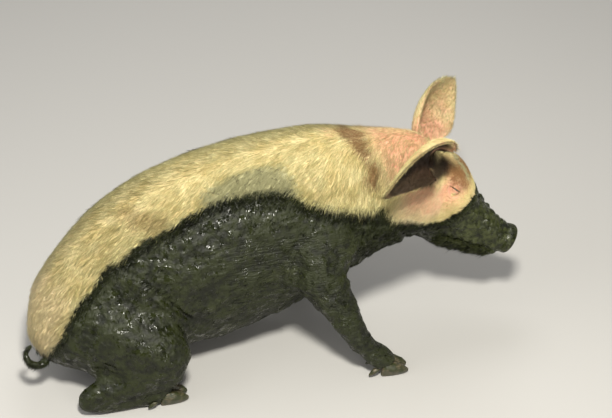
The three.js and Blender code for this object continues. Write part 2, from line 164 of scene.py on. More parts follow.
TRUNK = ["rump", "belly", "chest", "neck"]
FACE = ["head", "snout", "lower_jaw"]
LEG = ["upper_arm", "forearm", "forefoot", "thigh", "gaskin", "hindfoot"]
LEGS = [f"{part}_{side}" for part in LEG for side in SIDES]
EARS = [f"ear_{side}" for side in SIDES]
EYES = [f"eye_{side}" for side in SIDES]
FLESH = TRUNK + FACE + LEGS + EARS + ["tail"]
COLUMNS = ["soften", "depth", "density", "length", "width", "lift", "free"]
BY_KIND = {
    # how widely facets are smoothed away, how far the skin lies under the coat's tips, the tufts
    # on each square metre, their length, width and how far they stand out, and how many of them
    # still stand free deep in the mud
    "rump": (0.027, 0.0035, 270e3, 0.022, 0.00080, 0.13, 0.04),
    "belly": (0.028, 0.0025, 250e3, 0.022, 0.00085, 0.13, 0.03),
    "chest": (0.026, 0.0030, 250e3, 0.023, 0.00085, 0.14, 0.10),
    "neck": (0.022, 0.0035, 270e3, 0.022, 0.00080, 0.18, 0.55),
    "head": (0.009, 0.0018, 400e3, 0.011, 0.00070, 0.18, 0.55),
    "snout": (0.0035, 0.0004, 0, 0.004, 0.0006, 0.2, 0.4),
    "lower_jaw": (0.007, 0.0016, 300e3, 0.027, 0.00090, 0.34, 0.9),
    "upper_arm": (0.019, 0.0020, 160e3, 0.016, 0.0010, 0.13, 0.10),
    "forearm": (0.010, 0.0012, 150e3, 0.012, 0.0010, 0.15, 0.10),
    "forefoot": (0.006, 0.0008, 140e3, 0.006, 0.0008, 0.15, 0.15),
    "thigh": (0.022, 0.0025, 150e3, 0.018, 0.0010, 0.13, 0.03),
    "gaskin": (0.011, 0.0012, 150e3, 0.012, 0.0010, 0.15, 0.08),
    "hindfoot": (0.006, 0.0008, 140e3, 0.006, 0.0008, 0.15, 0.15),
    "ear": (0, 0, 300e3, 0.011, 0.00065, 0.24, 1.0),
    "tail": (0, 0, 300e3, 0.014, 0.0008, 0.2, 0.7),
}
KINDS = list(BY_KIND)


def kind_of(node):
    return node.removesuffix("_right").removesuffix("_left")


def loose_object(name, mesh):
    obj = bpy.data.objects.new(name, mesh)
    bpy.context.scene.collection.objects.link(obj)
    return obj


def finished_mesh(bm, name):
    """A new mesh with the shape of bm, which is freed."""
    mesh = bpy.data.meshes.new(name)
    bm.to_mesh(mesh)
    bm.free()
    return mesh


WELD = 1e-5  # points of a node closer than this are one point


def grown_node(bm, node, push):
    """Adds a node's shape to bm, moved out by push."""
    part = bmesh.new()
    part.from_mesh(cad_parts[node].data)
    bmesh.ops.remove_doubles(part, verts=part.verts, dist=WELD)
    bmesh.ops.recalc_face_normals(part, faces=part.faces)
    part.normal_update()
    places = [v.co + v.normal * push for v in part.verts]
    for v, place in zip(part.verts, places):
        v.co = place
    mesh = finished_mesh(part, node)
    bm.from_mesh(mesh)
    bpy.data.meshes.remove(mesh)


def applied(obj):
    """The object with its modifiers turned into its mesh."""
    graph = bpy.context.evaluated_depsgraph_get()
    mesh = bpy.data.meshes.new_from_object(obj.evaluated_get(graph))
    obj.modifiers.clear()
    obj.data = mesh
    return obj


def remeshed(obj, voxel):
    modifier = obj.modifiers.new("fuse", "REMESH")
    modifier.mode = "VOXEL"
    modifier.voxel_size = voxel
    return applied(obj)


def read(items, key, width, kind=np.float32):
    """One row of a property for each item of a mesh."""
    values = np.empty(len(items) * width, kind)
    items.foreach_get(key, values)
    return values.reshape(-1, width)


def point_array(mesh):
    return read(mesh.vertices, "co", 3).astype(float)


def point_normals(mesh):
    return read(mesh.vertex_normals, "vector", 3).astype(float)


def edge_array(mesh):
    return read(mesh.edges, "vertices", 2, np.int32)


def set_points(mesh, points):
    mesh.vertices.foreach_set("co", points.astype(np.float32).ravel())
    mesh.update()


def relaxed(values, edges, amount, rounds):
    """Rows of values of neighbouring points drawn together, by that amount at each round."""
    count = len(values)
    a, b = edges.T
    degree = np.maximum(np.bincount(edges.ravel(), minlength=count), 1)[:, None]
    amount = np.broadcast_to(amount, count)[:, None]
    for _ in range(rounds):
        total = np.stack(
            [
                np.bincount(a, values[b, k], count) + np.bincount(b, values[a, k], count)
                for k in range(values.shape[1])
            ],
            axis=1,
        )
        values = values + amount * (total / degree - values)
    return values


def evened(values, edges, rounds):
    """One value for each point, drawn half way to its neighbours' at each round."""
    return relaxed(values[:, None], edges, 0.5, rounds)[:, 0]


def keep_largest_island(obj):
    """Deletes what isn't joined to the biggest closed surface."""
    edges = edge_array(obj.data)
    label = np.arange(len(obj.data.vertices))
    while True:
        new = label.copy()
        np.minimum.at(new, edges, label[edges].min(axis=1)[:, None])
        new = new[new]
        if np.array_equal(new, label):
            break
        label = new
    biggest = np.bincount(label).argmax()
    bm = bmesh.new()
    bm.from_mesh(obj.data)
    strays = [v for v in bm.verts if label[v.index] != biggest]
    bmesh.ops.delete(bm, geom=strays, context="VERTS")
    bm.to_mesh(obj.data)
    bm.free()
    return obj


class Nearest:
    """Finds which node of flesh a point belongs to."""

    def __init__(self, nodes):
        points, faces, self.kind = [], [], []
        for node in nodes:
            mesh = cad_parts[node].data
            start = len(points)
            points.extend(v.co.copy() for v in mesh.vertices)
            faces.extend([start + i for i in p.vertices] for p in mesh.polygons)
            self.kind.extend([KINDS.index(kind_of(node))] * len(mesh.polygons))
        self.tree = BVHTree.FromPolygons(points, faces)

    def kinds(self, points):
        found = (self.tree.find_nearest(Vector(p))[2] for p in points)
        return np.fromiter((self.kind[i] for i in found), int, len(points))


def by_kind(column, kinds):
    """One value for each point, from a column of the table of kinds."""
    return np.array(list(BY_KIND.values()), float)[kinds, COLUMNS.index(column)]


def of_kind(kinds, wanted):
    """Whether each point is on one of those kinds of node."""
    return np.isin(kinds, [KINDS.index(kind) for kind in wanted])


# ---- the skin's base ----

BODY_VOXEL = 0.005
SKIN_VOXEL = 0.0038
JOIN_PUSH = 0.00035  # closes the parting cuts between nodes
EAR_PUSH = 0.0010
TAIL_PUSH = 0.0004
SOFTEN_ROUNDS = 120
LARGEST_STEP = 0.6  # of smoothing, at each round
CHEEK_KINDS = ["neck", "head", "lower_jaw"]
CHEEK_JOIN_X = -0.265  # where the head meets the neck, in the head's frame
CHEEK_JOIN_WIDTH = 0.050
CHEEK_SOFTEN = 0.032
CHEEK_ROUNDS = 140  # of smoothing at that join, beside the others


def body_base():
    """The trunk, head and legs as one closed surface with its facets smoothed away."""
    bm = bmesh.new()
    for node in TRUNK + FACE + LEGS + EYES:
        grown_node(bm, node, JOIN_PUSH)
    obj = loose_object("body_base", finished_mesh(bm, "body_base"))
    obj = keep_largest_island(remeshed(obj, BODY_VOXEL))
    points, edges = point_array(obj.data), edge_array(obj.data)
    kinds = Nearest(TRUNK + FACE + LEGS).kinds(points)
    cheek = bell(to_head(points)[:, 0] - CHEEK_JOIN_X, CHEEK_JOIN_WIDTH)
    cheek = evened(cheek * of_kind(kinds, CHEEK_KINDS), edges, 10)
    reach = np.maximum(by_kind("soften", kinds), CHEEK_SOFTEN * cheek)
    reach = evened(reach, edges, 20)
    amount = 2.0 * reach**2 / (SOFTEN_ROUNDS * BODY_VOXEL**2)
    points = relaxed(points, edges, np.minimum(amount, LARGEST_STEP), SOFTEN_ROUNDS)
    points = relaxed(points, edges, LARGEST_STEP * cheek, CHEEK_ROUNDS)
    set_points(obj.data, points)
    depth = evened(by_kind("depth", kinds), edges, 20)
    set_points(obj.data, points - point_normals(obj.data) * depth[:, None])
    return obj


FLAT = math.radians(40)  # triangles that meet at less are joined before they are rounded


def smooth_copy(node, push):
    """A node's own shape, rounded by subdivision."""
    bm = bmesh.new()
    grown_node(bm, node, push)
    bmesh.ops.join_triangles(
        bm, faces=bm.faces, angle_face_threshold=FLAT, angle_shape_threshold=FLAT
    )
    name = f"{node}_smooth"
    obj = loose_object(name, finished_mesh(bm, name))
    modifier = obj.modifiers.new("round", "SUBSURF")
    modifier.levels = modifier.render_levels = 2
    return applied(obj)


def joined(objects, name):
    bm = bmesh.new()
    for obj in objects:
        bm.from_mesh(obj.data)
        bpy.data.objects.remove(obj)
    return loose_object(name, finished_mesh(bm, name))


def at_sides(x, y, z):
    """The same place in the head's frame on the right and on the left."""
    return {"right": np.array([x, -y, z]), "left": np.array([x, y, z])}


EAR_ROOTS = {"right": from_head([-0.326, -0.080, 0.142]), "left": from_head([-0.337, 0.030, 0.110])}
EAR_TIPS = {"right": from_head([-0.400, -0.256, 0.062]), "left": from_head([-0.294, 0.218, 0.216])}
EAR_FACES = {"right": HEAD_AXES @ [0.48, -0.87, 0.04], "left": HEAD_AXES @ [0.36, -0.62, 0.70]}
BROAD = ["rump", "belly", "chest", "neck", "thigh", "upper_arm"]
DECIMATE_TO = 0.50  # share of the triangles kept, most of them on the head, ears and feet


def skin_base():
    """One closed surface over the trunk, head, legs, ears and tail."""
    parts = [body_base()] + [smooth_copy(ear, EAR_PUSH) for ear in EARS]
    parts.append(smooth_copy("tail", TAIL_PUSH))
    obj = keep_largest_island(remeshed(joined(parts, "skin"), SKIN_VOXEL))
    points, edges = point_array(obj.data), edge_array(obj.data)
    near_root = np.zeros(len(points))
    for root in EAR_ROOTS.values():
        away = np.linalg.norm(points - root, axis=1)
        near_root = np.maximum(near_root, ramp(away, 0.075, 0.03))
    set_points(obj.data, relaxed(points, edges, 0.08 + 0.45 * near_root, 12))
    return obj


def thinned(obj, kinds):
    """Fewer triangles on the trunk and upper legs, where the surface is broad."""
    broad = evened(of_kind(kinds, BROAD).astype(float), edge_array(obj.data), 6)
    group = obj.vertex_groups.new(name="broad")
    for step in range(11):
        chosen = np.flatnonzero(np.round(broad * 10) == step)
        group.add([int(i) for i in chosen], step / 10, "REPLACE")
    modifier = obj.modifiers.new("thin", "DECIMATE")
    modifier.ratio = DECIMATE_TO
    modifier.vertex_group = group.name
    modifier.vertex_group_factor = 1.0
    modifier.use_collapse_triangulate = True
    applied(obj)
    obj.vertex_groups.clear()


def divided(obj, centre, radius, times):
    """Splits the triangles round a place, so that small forms can be cut there."""
    bm = bmesh.new()
    bm.from_mesh(obj.data)
    centre = Vector(centre)
    for k in range(times):
        reach = radius * (1.0 - 0.2 * k)
        edges = [e for e in bm.edges if all((v.co - centre).length < reach for v in e.verts)]
        bmesh.ops.subdivide_edges(bm, edges=edges, cuts=1, use_grid_fill=True)
        bmesh.ops.triangulate(bm, faces=[f for f in bm.faces if len(f.verts) > 3])
    bm.to_mesh(obj.data)
    bm.free()


EYE_SPLIT = (0.034, 2)  # how far round it the triangles are split, and how often
NOSTRIL_SPLIT = (0.020, 1)

whole = Nearest(FLESH)
skin = skin_base()
thinned(skin, whole.kinds(point_array(skin.data)))
for side in SIDES:
    nostril = at_sides(0.0, NOSTRIL_SIDE, NOSTRIL_Z)[side]
    divided(skin, EYE_AT[side], *EYE_SPLIT)
    divided(skin, from_head(nostril), *NOSTRIL_SPLIT)

# ---- the skin's unwrap ----


def unwrapped(obj):
    """Charts of the skin's own shape, cut before its small forms are sculpted."""
    bpy.context.view_layer.objects.active = obj
    obj.select_set(True)
    bpy.ops.object.mode_set(mode="EDIT")
    bpy.ops.mesh.select_all(action="SELECT")
    bpy.ops.uv.smart_project(angle_limit=math.radians(66), island_margin=0.004)
    bpy.ops.object.mode_set(mode="OBJECT")
    obj.data.uv_layers[0].name = "OFBake"


unwrapped(skin)

# ---- sculpting ----

MUD_TOP = [  # how high the mud reaches at each x along the body
    (-0.64, 0.075), (-0.575, 0.115), (-0.52, 0.213), (-0.47, 0.280), (-0.41, 0.343), (-0.32, 0.398),
    (-0.22, 0.439), (-0.14, 0.471), (-0.06, 0.487), (0.02, 0.482), (0.06, 0.462), (0.11, 0.438),
    (0.19, 0.413), (0.24, 0.407), (0.27, 0.374), (0.30, 0.346), (0.35, 0.326), (0.45, 0.322),
]
MUD_FACE = [  # how far back it reaches at each height on the face, in the head's frame
    (-0.010, -0.196), (0.006, -0.187), (0.034, -0.173), (0.059, -0.164), (0.079, -0.158),
    (0.14, -0.140),
]
MUD_JAW_Z = -0.010  # the mud's height on the cheek, in the head's frame
HEAD_STARTS = (-0.37, -0.31)  # where the head's own border takes over, in the head's frame


def mud_depth(points):
    """How far inside the mud a point lies; negative on clean coat."""
    body = np.interp(points[:, 0], *zip(*MUD_TOP)) - points[:, 2]
    head = to_head(points)
    ahead = head[:, 0] - np.interp(head[:, 2], *zip(*MUD_FACE))
    face = np.maximum(MUD_JAW_Z - head[:, 2], ahead)
    depth = mixed(body, face, ramp(head[:, 0], *HEAD_STARTS) * ramp(head[:, 2], 0.26, 0.20))
    return depth + 0.0075 * rough_noise(points, 0.040, 30)


def off_line(points, line):
    return line_distance(points, line)[0]


def crease(points, line, width, depth, lip=0.35):
    """A fold along a line: how far the skin moves out."""
    away, along = line_distance(points, line)
    ends = ramp(along, 0.0, 0.15) * ramp(along, 1.0, 0.85)
    groove = bell(away, width)
    raised = bell(away - 2.1 * width, 0.9 * width)
    return depth * ends * (lip * raised - groove)


THIGH_FOLD = [
    (-0.373, -0.116, 0.343), (-0.321, -0.152, 0.306), (-0.269, -0.165, 0.246),
    (-0.22, -0.155, 0.182),
]
THIGH_CREASE = (0.0055, 0.0085)  # width and depth
EAR_FOLD = [
    (0.356, -0.070, 0.525), (0.318, -0.078, 0.522), (0.292, -0.100, 0.500),
    (0.284, -0.122, 0.468),
]
FOLD_STEP = np.array([-0.020, 0.0, 0.004])  # from one fold behind the ear to the next


def body_folds(points):
    """Folds before both thighs and behind the right ear: how far the skin moves out."""
    thighs = [np.array(THIGH_FOLD) * (1, s, 1) for s in (1, -1)]
    move = sum(crease(points, fold, *THIGH_CREASE) for fold in thighs)
    for k in range(3):
        fold = np.array(EAR_FOLD) + k * FOLD_STEP
        move += crease(points, fold, 0.0040, 0.0034 - 0.0006 * k, 0.6)
    return move


SNOUT_RIM_X = -0.025
SNOUT_FOLDS = [(-0.040, 0.0018), (-0.054, 0.0020), (-0.069, 0.0016), (-0.088, 0.0013)]  # x, depth
EYE_FOLDS = [  # how many, their width, the first one's points and the step to the next
    (3, 0.0016, [(-0.250, 0.078, 0.098), (-0.226, 0.068, 0.108), (-0.196, 0.055, 0.098)],
     [(0.004, 0, 0.006), (0, 0, 0.007), (0, 0, 0.006)]),
    (2, 0.0017, [(-0.240, 0.083, 0.064), (-0.216, 0.080, 0.058), (-0.192, 0.068, 0.064)],
     [(0, 0, -0.007), (0, 0, -0.007), (0, 0, -0.006)]),
]
LIPS_Z = -0.024  # their height at the nose
LIPS_SLOPE = 0.143  # and how fast they fall towards the corner


def face_folds(head):
    """Folds of the muzzle, brow, cheek and mouth, on points in the head's frame."""
    x, y, z = head.T
    side = np.abs(y)
    rim = x - SNOUT_RIM_X - 0.002 * noise(head, 0.02, 3)
    top = ramp(z, -0.01, 0.015)
    move = -0.0036 * bell(rim, 0.0045) * ramp(z, -0.03, 0.0)
    for k, (place, depth) in enumerate(SNOUT_FOLDS):
        bend = 0.010 * (side / 0.04) ** 2 + 0.003 * noise(head, 0.018, 10 + k)
        groove = bell(x - place - bend, 0.0028)
        move += depth * top * (0.5 * bell(x - place - bend - 0.007, 0.004) - groove)
    lips = LIPS_Z + LIPS_SLOPE * x
    sides = ramp(side, 0.012, 0.024) * ramp(x, -0.175, -0.15) * ramp(x, -0.016, -0.028)
    move += sides * (0.0016 * bell(z - lips - 0.009, 0.006) - 0.0085 * bell(z - lips, 0.0036))
    for s in (-1, 1):
        move += 0.0035 * spot(head, (-0.232, s * 0.058, 0.107), 0.016)  # brow
        move += 0.0030 * spot(head, (-0.205, s * 0.079, 0.045), 0.026)  # cheekbone
        move -= 0.0030 * spot(head, (-0.185, s * 0.052, 0.085), 0.013)  # in front of the eye
        for number, width, arc, step in EYE_FOLDS:
            for k in range(number):
                line = (np.array(arc) + k * np.array(step)) * (1, s, 1)
                move += crease(head, line, width, 0.0011, 0.5)
    return move


LID_RADIUS = 0.0152
LID_REACH = (0.0225, 0.0110)  # from the eye's axis, where the lids fade into the face
SLIT_HALF_LENGTH = 0.0190
SLIT_FLOOR_RADIUS = 0.0105  # under the eyeball, so that it shows between the lids
SLIT_HALF_OPENING = {"right": 0.0021, "left": 0.0032}
EYE_LOOK = {side: unit(way) for side, way in at_sides(0.33, 0.90, 0.28).items()}


def eye_axes(side):
    """Along the slit, up across it, and out of the eye, as rows in the head's frame."""
    out = EYE_LOOK[side]
    along = np.array([0.94, 0.0, -0.10])
    along = unit(along - out * (along @ out))
    across = np.cross(out, along)
    across *= np.sign(across[2])
    return np.array([along, across, out])


def lidded(head, side):
    """Points round an eye drawn on to its lids, with the slit between them let in."""
    axes = eye_axes(side)
    eye = EYES_MIDDLE + at_sides(0.0, EYE_SIDE, 0.0)[side]
    a, b, c = ((head - eye) @ axes.T).T
    away = np.hypot(a, b)
    near = (away < LID_REACH[0]) & (c > -0.006)
    dome = np.sqrt(np.maximum(LID_RADIUS**2 - np.minimum(away, 0.0135) ** 2, 0.0))
    bow = 1.0 - (a / SLIT_HALF_LENGTH) ** 2
    curve = 0.0012 * bow  # the slit bows upwards
    opening = SLIT_HALF_OPENING[side] * np.sqrt(np.clip(bow, 0.0, 1.0))
    off = np.abs(b - curve)
    inner = ramp(np.abs(a), 0.016, 0.010)
    rim = 0.0008 * bell(off - opening - 0.0014, 0.0011) * ramp(np.abs(a), 0.019, 0.013)
    fold = -0.0011 * bell(b - curve - 0.0066, 0.0010) * inner
    pouch = -0.0009 * bell(b + 0.0072, 0.0010) * inner
    lid = mixed(c, dome + rim + fold + pouch, ramp(away, *LID_REACH))
    inside = ramp(off - opening, 0.0005, -0.0005) * (np.abs(a) < SLIT_HALF_LENGTH)
    floor = np.sqrt(np.maximum(SLIT_FLOOR_RADIUS**2 - away**2, 0.0))
    lid = mixed(lid, np.maximum(floor, lid - 0.0045), inside)
    moved = head + (lid - c)[:, None] * axes[2]
    return np.where(near[:, None], moved, head)


def nostrils(head):
    """How far the snout's disc is let in, along the head's own x."""
    move = np.zeros(len(head))
    for s in (-1, 1):
        away = np.hypot((head[:, 1] - s * NOSTRIL_SIDE) / 0.85, head[:, 2] - NOSTRIL_Z)
        rim = 0.0016 * bell(away - 0.0110, 0.0026)
        move += (rim - 0.017 * ramp(away, 0.0095, 0.0055)) * (head[:, 0] > -0.018)
    return move


MUD_LUMPS = [(0.046, 0.0042), (0.023, 0.0030), (0.012, 0.0014)]  # size and height
CLOD_HEIGHT = 0.0050  # of the clods and ridges on those
THINLY_MUDDY = ["forefoot", "hindfoot", "snout", "tail", "ear"]


def lump_height(points):
    """How high the lumps of thick wet mud are."""
    move = sum(
        height * rough_noise(points, size, 40 + k, 2)
        for k, (size, height) in enumerate(MUD_LUMPS)
    )
    ridged = 1.0 - np.abs(noise(points, 0.022, 60))
    return move + ramp(noise(points, 0.09, 61), -0.1, 0.5) * ridged**4 * CLOD_HEIGHT


def mud_lumps(points, mud):
    """How far the mud stands out of the skin, with a band of clods below its edge."""
    band = ramp(mud, 0.004, 0.025) * ramp(mud, 0.15, 0.06)
    band *= ramp(noise(points, 0.10, 62), -0.4, 0.2)
    clods = ramp(noise(points, 0.017, 63), 0.05, 0.45) * CLOD_HEIGHT
    return ramp(mud, -0.004, 0.010) * (0.0006 + lump_height(points) + band * clods)


def sculpt(obj, kinds):
    points = point_array(obj.data)
    normals = point_normals(obj.data)
    on_face = of_kind(kinds, FACE)
    face = np.where(on_face, face_folds(to_head(points)), 0.0)
    small = 1.0 - 0.75 * of_kind(kinds, THINLY_MUDDY) - 0.15 * on_face
    lumps = small * mud_lumps(points, mud_depth(points)) * ramp(points[:, 2], 0.0, 0.02)
    points = points + normals * (face + body_folds(points) * ~on_face + lumps)[:, None]
    head = to_head(points)
    for side in SIDES:
        head = lidded(head, side)
    head[:, 0] += nostrils(head)
    points = from_head(head)
    points[:, 2] = np.maximum(points[:, 2], 0.0)  # nothing dips under the floor
    set_points(obj.data, points)


kinds = whole.kinds(point_array(skin.data))
sculpt(skin, kinds)

# ---- markings, the same on skin and coat ----

SCAB = [
    (0.195, 0.030, 0.543), (0.205, -0.020, 0.540), (0.215, -0.076, 0.520),
    (0.237, -0.120, 0.470),
]
STAIN = [(-0.27, -0.080, 0.430), (-0.31, -0.050, 0.430), (-0.345, -0.010, 0.433)]
PINK_SPOTS = [  # centre, radius and strength
    ((0.285, -0.019, 0.541), 0.065, 0.9), ((0.292, -0.099, 0.500), 0.050, 0.9),
    ((0.330, -0.125, 0.440), 0.050, 0.9), ((0.340, -0.040, 0.530), 0.050, 0.8),
    ((0.16, 0.02, 0.55), 0.08, 0.45), ((0.29, 0.09, 0.50), 0.07, 0.6),
]
FACE_PINK = [  # the same in the head's frame, on both sides
    ((-0.215, 0.062, 0.080), 0.045, 1.1), ((-0.25, 0.085, 0.02), 0.045, 0.6),
    ((-0.325, 0.075, 0.10), 0.045, 0.9), ((-0.290, 0.130, 0.035), 0.050, 0.6),
]
# the cheek's paler coat, and painted light on the cheek where the right ear shades it
CHEEK_PALE_AND_LIT = [(-0.270, -0.105, 0.025), (-0.300, -0.130, 0.030)]  # the palest of the cheek
FILM_STARTS = (-0.20, -0.11)  # along x, behind the film of dried mud on the back
FILM_ENDS = (0.08, 0.00)  # and before it
# the film over the brow, in the head's frame
HEAD_FILM = [(-0.245, 0.02, 0.135), (-0.227, -0.011, 0.132), (-0.195, -0.022, 0.112)]
# the right ear's lower root and its hollow, along which painted shadow lies on the ear and on the
# head beside it
EAR_CORNER_SHADOW = [(0.334, -0.172, 0.478), (0.356, -0.140, 0.476), (0.370, -0.115, 0.460)]
EAR_MOUTH_SHADOW = [(0.400, -0.082, 0.490), (0.374, -0.112, 0.458), (0.413, -0.068, 0.446)]


def both_spots(head, place, radius):
    """A spot on each side of the head, in its frame."""
    x, y, z = place
    return spot(head, (x, -y, z), radius) + spot(head, (x, y, z), radius)


def on_left_ear(points):
    """Which of the ears' points are the left one's."""
    return points[:, 1] > HEAD_ORIGIN[1] + 0.02


def ear_inside(points, normals, kinds):
    """1 on the hollow side of an ear, 0 on its back and elsewhere."""
    left, right = normals @ EAR_FACES["left"], normals @ EAR_FACES["right"]
    facing = np.where(on_left_ear(points), left, right)
    return of_kind(kinds, ["ear"]) * ramp(facing, 0.05, 0.35)


def markings(points, normals, kinds, edges):
    """Amounts from 0 to 1 of each marking at each point, and how deep in the mud it lies."""
    x, y, z = points.T
    head = to_head(points)
    mottle = rough_noise(points, 0.030, 70)
    fine = rough_noise(points, 0.009, 71)
    is_ear = of_kind(kinds, ["ear"]).astype(float)
    mud = mixed(mud_depth(points), -0.05, is_ear)
    mud = np.where(of_kind(kinds, ["tail"]), 0.03 - 0.02 * mottle, mud)
    pink = sum(power * spot(points, centre, radius) for centre, radius, power in PINK_SPOTS)
    pink = pink + sum(power * both_spots(head, place, r) for place, r, power in FACE_PINK)
    inside = ear_inside(points, normals, kinds)
    ear_root = sum(spot(points, root, 0.060) for root in EAR_ROOTS.values())
    pink = pink + is_ear * (0.25 + 0.25 * inside + 0.6 * ear_root) + 0.35 * mottle
    pink = np.clip(pink, 0.0, 1.0)
    scab = off_line(points, SCAB) + 0.030 * mottle + 0.022 * fine
    stain = off_line(points, STAIN) + 0.02 * mottle + 0.010 * fine
    rust = np.maximum(0.84 * ramp(scab, 0.034, 0.004), 0.52 * ramp(stain, 0.044, 0.008))
    dirt = ramp(mottle + 0.5 * fine, 0.35, 0.95) * ramp(mud, -0.16, -0.02) * 0.35
    rust = np.clip(np.maximum(rust, dirt), 0.0, 1.0)
    wide = rough_noise(points, 0.07, 72)
    film = ramp(x + 0.03 * wide, *FILM_STARTS)
    film *= ramp(x + 0.03 * wide, *FILM_ENDS)
    low = ramp(mud + 0.02 * wide, -0.060, -0.025) * ramp(mottle, -0.75, 0.0)
    film *= low * ramp(y, -0.02, -0.06)
    forehead = off_line(head, HEAD_FILM) + 0.010 * fine + 0.008 * mottle
    film = np.maximum(film, 0.6 * ramp(forehead, 0.024, 0.004))
    # Painted shade with some dark hair: the right ear's hollow darkens away from its edge, where
    # its skin faces down only at the deepest, and the left ear's hollow barely darkens
    right = ramp(head[:, 1], 0.00, -0.04)
    from_rim = evened(inside, edges, 70)
    under = ramp(normals[:, 2], -0.05, -0.45)
    deep = mixed(ramp(from_rim, 0.30, 0.72), ramp(from_rim, 0.74, 0.98), under)
    shade_and_dark_hair = inside * deep * mixed(0.10, 0.97, right)
    # painted shadow in the right ear's mouth and under its lower root, reaching on to the head
    mouth = off_line(points, EAR_MOUTH_SHADOW) + 0.006 * fine
    corner = off_line(points, EAR_CORNER_SHADOW) + 0.004 * fine
    shade_and_dark_hair = np.maximum(shade_and_dark_hair, 0.96 * ramp(mouth, 0.035, 0.016))
    shade_and_dark_hair = np.maximum(shade_and_dark_hair, 0.92 * ramp(corner, 0.026, 0.010))
    # painted shade on the right ear's tip, with the dark hair of its fringe
    tip = 0.90 * spot(points, EAR_TIPS["right"], 0.028) * ramp(fine, -0.5, 0.2) * is_ear
    shade_and_dark_hair = np.maximum(shade_and_dark_hair, tip)
    temple = both_spots(head, (-0.212, 0.052, 0.104), 0.040)
    temple += 0.75 * both_spots(head, (-0.268, 0.058, 0.135), 0.034)
    brow = spot(head, (-0.215, -0.005, 0.118), 0.050)
    rust = np.maximum(rust, 0.55 * is_ear * ramp(mottle + 0.8 * fine, 0.0, 0.9))
    face = (1.05 * temple + 0.70 * brow) * (0.85 + 0.6 * mottle) * (1.0 - is_ear)
    rust = np.clip(rust + face, 0.0, 1.0)
    lid = ramp(both_spots(head, (-0.214, 0.074, 0.0715), 0.0085), 0.45, 0.75)
    rust = rust * (1.0 - lid)
    pink = pink * (1.0 - 0.9 * lid)
    # Partly the cheek's paler coat and partly painted light where the right ear shades the cheek;
    # the rump's end is made paler too
    paler_coat_and_light = sum(both_spots(head, place, 0.060) for place in CHEEK_PALE_AND_LIT)
    paler_coat_and_light = paler_coat_and_light + 0.8 * ramp(x, -0.46, -0.58) + 0.4 * mottle
    gloss = ramp(head[:, 0], -0.185, -0.13) * ramp(head[:, 2], 0.20, 0.15)
    combed = ramp(x, -0.20, -0.08) * ramp(z, 0.42, 0.36)
    combed *= ramp(x, 0.34, 0.26)
    return {
        "mud": mud, "pink": pink, "rust": rust, "film": film, "inside": inside, "shade_and_dark_hair": shade_and_dark_hair,
        "combed": combed, "paler_coat_and_light": np.clip(paler_coat_and_light, 0.0, 1.0), "gloss": gloss,
        "lump": np.clip(lump_height(points) / 0.006, -1.0, 1.0),
    }


def store(mesh, name, values):
    attribute = mesh.attributes.new(name, "FLOAT", "POINT")
    attribute.data.foreach_set("value", np.asarray(values, np.float32))


def mesh_triangles(mesh):
    """Corners and UVs of every triangle of a mesh that has only triangles."""
    corners = read(mesh.loops, "vertex_index", 1, np.int32).reshape(-1, 3)
    return corners, read(mesh.uv_layers["OFBake"].data, "uv", 2).reshape(-1, 3, 2)


points, normals = point_array(skin.data), point_normals(skin.data)
marks = markings(points, normals, kinds, edge_array(skin.data))
for name, values in marks.items():
    store(skin.data, name, values)
store(skin.data, "tone", np.zeros(len(points)))

# ---- the coat ----

NECK_COAT_FROM = (-0.20, -0.37)  # where the face's short coat turns into the neck's
PIECES_OF_COAT = 8
PATCH = 0.003  # across a tuft's patch on the unwrap
TRUNK_LIE = (-0.62, 0.30, -0.74)
LEG_LIE = (-0.22, 0.0, -1.0)
TAIL_LIE = (-0.5, 0.0, -0.8)
FACE_LIE = (-0.90, 0.0, -0.35)  # in the head's frame


def lie_of_coat(points, normals, kinds, edges):
    """The direction in which the coat lies at each point of the skin."""
    head = to_head(points)
    trunk = np.ones((len(points), 3)) * TRUNK_LIE
    trunk[:, 1] *= np.sign(points[:, 1])
    face = mixed(HEAD_AXES @ FACE_LIE, trunk, ramp(head[:, 0], -0.20, -0.33)[:, None])
    ear = {side: unit(EAR_TIPS[side] - EAR_ROOTS[side]) for side in SIDES}
    ears = np.where(on_left_ear(points)[:, None], ear["left"], ear["right"])
    leg, tail = (np.ones(trunk.shape) * unit(np.array(lie)) for lie in (LEG_LIE, TAIL_LIE))
    way = trunk.copy()
    for wanted, lie in [(FACE + ["neck"], face), (LEG, leg), (["tail"], tail), (["ear"], ears)]:
        chosen = of_kind(kinds, wanted)
        way[chosen] = lie[chosen]
    swirl = 0.38 * noise(points, 0.11, 80) + 0.22 * noise(points, 0.035, 81)
    way = unit(way + swirl[:, None] * np.cross(normals, way))
    for _ in range(3):
        way = relaxed(way, edges, 0.5, 6)
        way = unit(way - np.sum(way * normals, axis=1, keepdims=True) * normals)
    return way


def scattered(rng, mesh, density):
    """Random places on the skin: their triangles and the shares of each triangle's corners."""
    corners, _ = mesh_triangles(mesh)
    places = point_array(mesh)[corners]
    sides = places[:, 1:] - places[:, :1]
    area = 0.5 * np.linalg.norm(np.cross(sides[:, 0], sides[:, 1]), axis=1)
    wanted = area * density[corners].mean(axis=1)
    total = int(wanted.sum())
    chosen = np.searchsorted(np.cumsum(wanted), rng.random(total) * wanted.sum())
    chosen = np.minimum(chosen, len(corners) - 1)
    a, b = rng.random(total), rng.random(total)
    over = a + b > 1.0
    a[over], b[over] = 1.0 - a[over], 1.0 - b[over]
    return chosen, np.stack([1.0 - a - b, a, b], axis=1)


def spread(values, corners, shares):
    """A value of the skin's points at each place."""
    at = values[corners]
    return np.einsum("ij,ij...->i...", shares, at) if at.ndim == 3 else np.sum(shares * at, axis=1)


